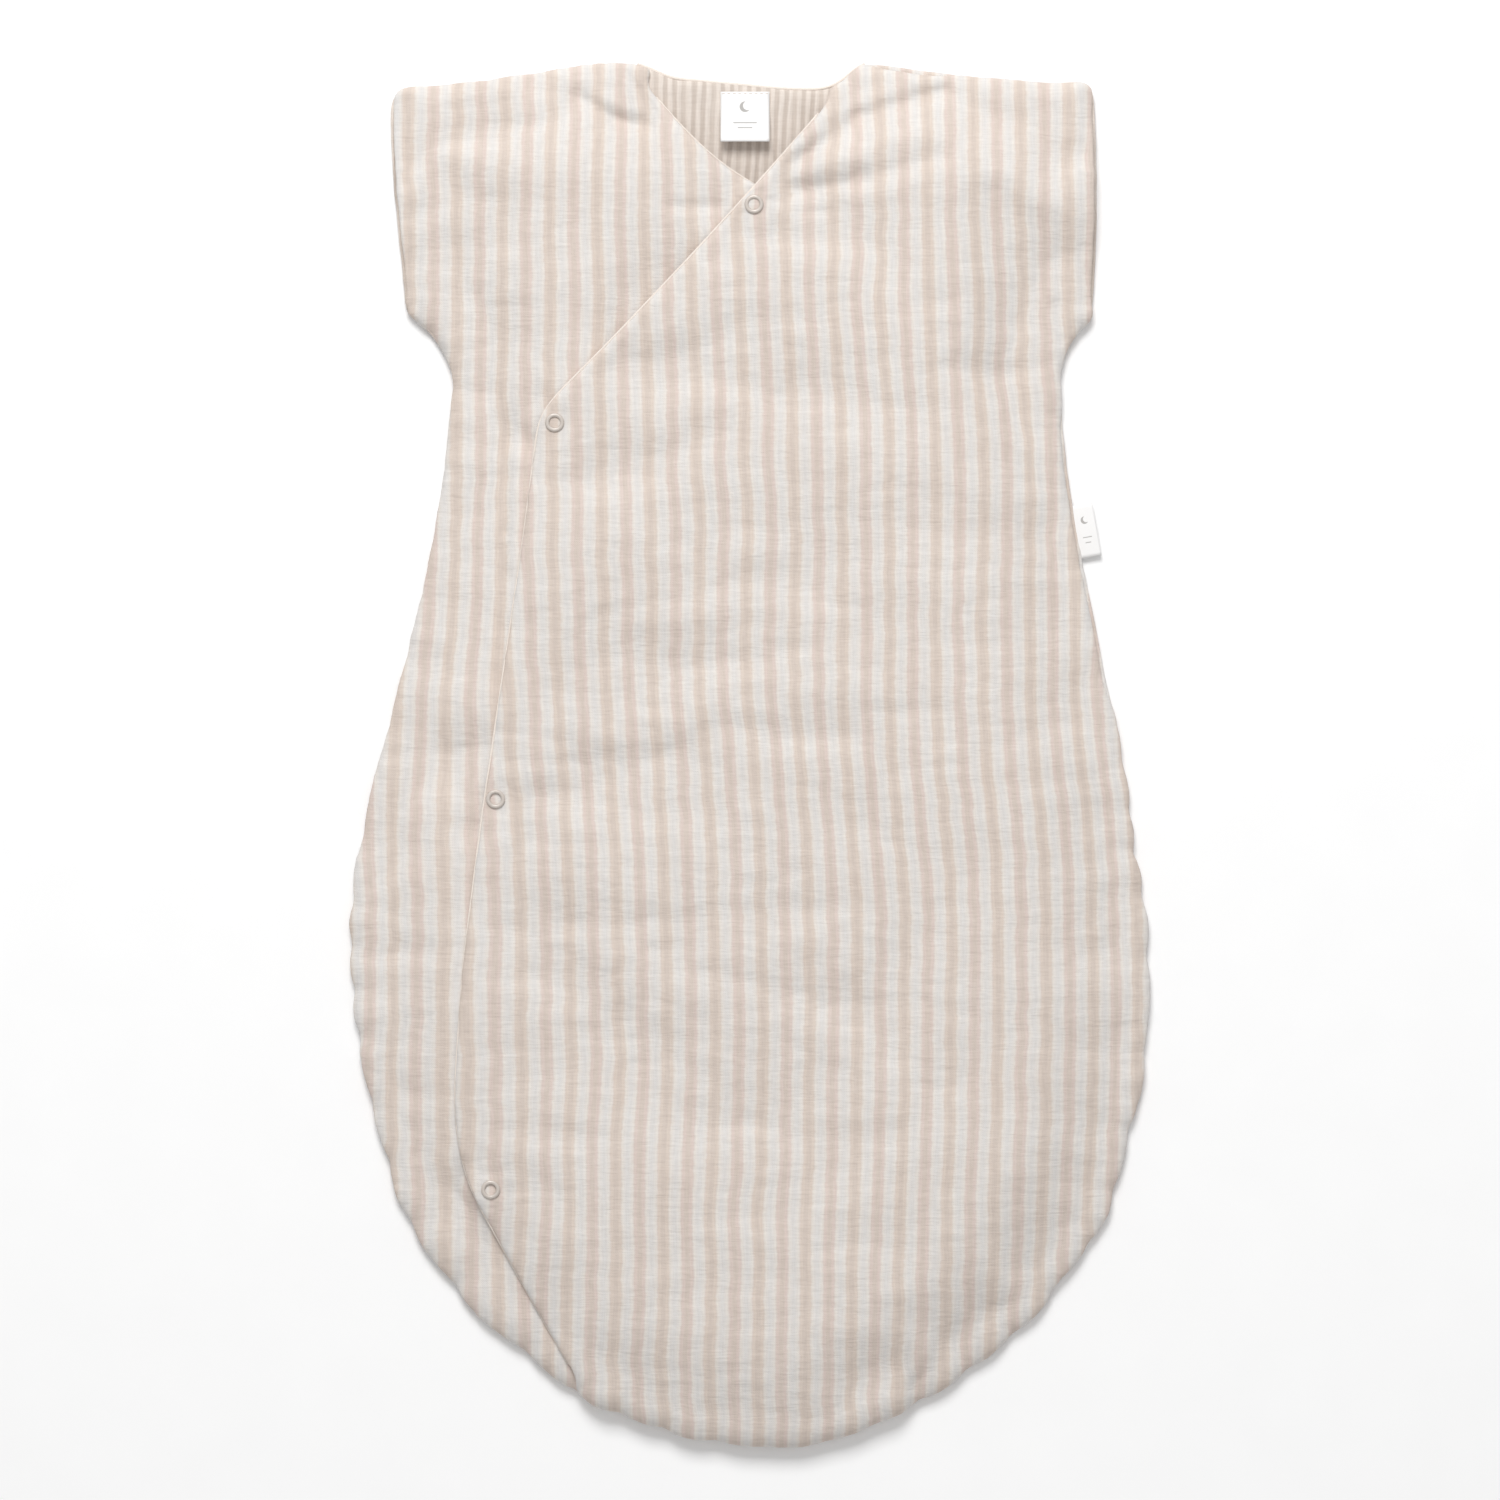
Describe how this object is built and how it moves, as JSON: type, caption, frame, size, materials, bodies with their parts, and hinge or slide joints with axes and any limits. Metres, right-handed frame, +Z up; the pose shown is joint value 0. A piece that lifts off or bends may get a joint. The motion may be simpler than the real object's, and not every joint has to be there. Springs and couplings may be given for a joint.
{
  "type": "baby sleeping bag",
  "caption": "Padded wrap-front baby sleeping bag with cap sleeves, a rounded closed foot end and ring snaps along its diagonal overlap.",
  "frame": {"origin": "on the resting plane under the middle of the bag laid flat on its back", "axes": "+Z up out of the front, +Y from the foot end towards the neck, +X to the right of someone looking down on the front"},
  "size_m": [0.4, 0.695, 0.0227],
  "materials": {
    "shell": "soft crinkled cotton muslin with beige and off-white stripes along its length",
    "lining": "fine ribbed cotton muslin, beige and cream",
    "wadding": "matt white fibre wadding",
    "piping": "cream cotton piping",
    "label": "white satin label tape, blank",
    "snap_ring": "satin greige enamel",
    "snap_metal": "satin greige enamel"
  },
  "bodies": {
    "bag": {"back_shell": "shell", "back_wadding": "wadding", "back_lining": "lining", "underlap_shell": "shell", "underlap_wadding": "wadding", "underlap_lining": "lining", "overlap_shell": "shell", "overlap_wadding": "wadding", "overlap_lining": "lining", "underlap_edge_piping": "piping", "snap_1_stud": "snap_metal", "snap_2_stud": "snap_metal", "snap_3_stud": "snap_metal", "snap_4_stud": "snap_metal", "snap_1_backing_ring": "snap_ring", "snap_2_backing_ring": "snap_ring", "snap_3_backing_ring": "snap_ring", "snap_4_backing_ring": "snap_ring"},
    "overlap_flap": {"flap_shell": "shell", "flap_wadding": "wadding", "flap_lining": "lining", "flap_edge_piping": "piping", "snap_1_cap_ring": "snap_ring", "snap_2_cap_ring": "snap_ring", "snap_3_cap_ring": "snap_ring", "snap_4_cap_ring": "snap_ring", "snap_1_socket": "snap_metal", "snap_2_socket": "snap_metal", "snap_3_socket": "snap_metal", "snap_4_socket": "snap_metal"},
    "neck_label": {"neck_label": "label"},
    "side_label": {"side_label": "label"}
  },
  "joints": [
    {"name": "overlap_fold", "type": "hinge", "parent": "bag", "child": "overlap_flap", "pos_m": [-0.011, 0.01175, 0.0218], "axis": [0.1957, 0.9807, 0], "range_deg": [0, 165]},
    {"name": "neck_label_flip", "type": "hinge", "parent": "bag", "child": "neck_label", "pos_m": [-0.0025, 0.3335, 0.0051], "axis": [-1, 0, 0], "range_deg": [0, 150]},
    {"name": "side_label_flip", "type": "hinge", "parent": "bag", "child": "side_label", "pos_m": [0.16455, 0.11274, 0.0027], "axis": [0.1735, -0.9848, 0], "range_deg": [-12, 85]}
  ]
}
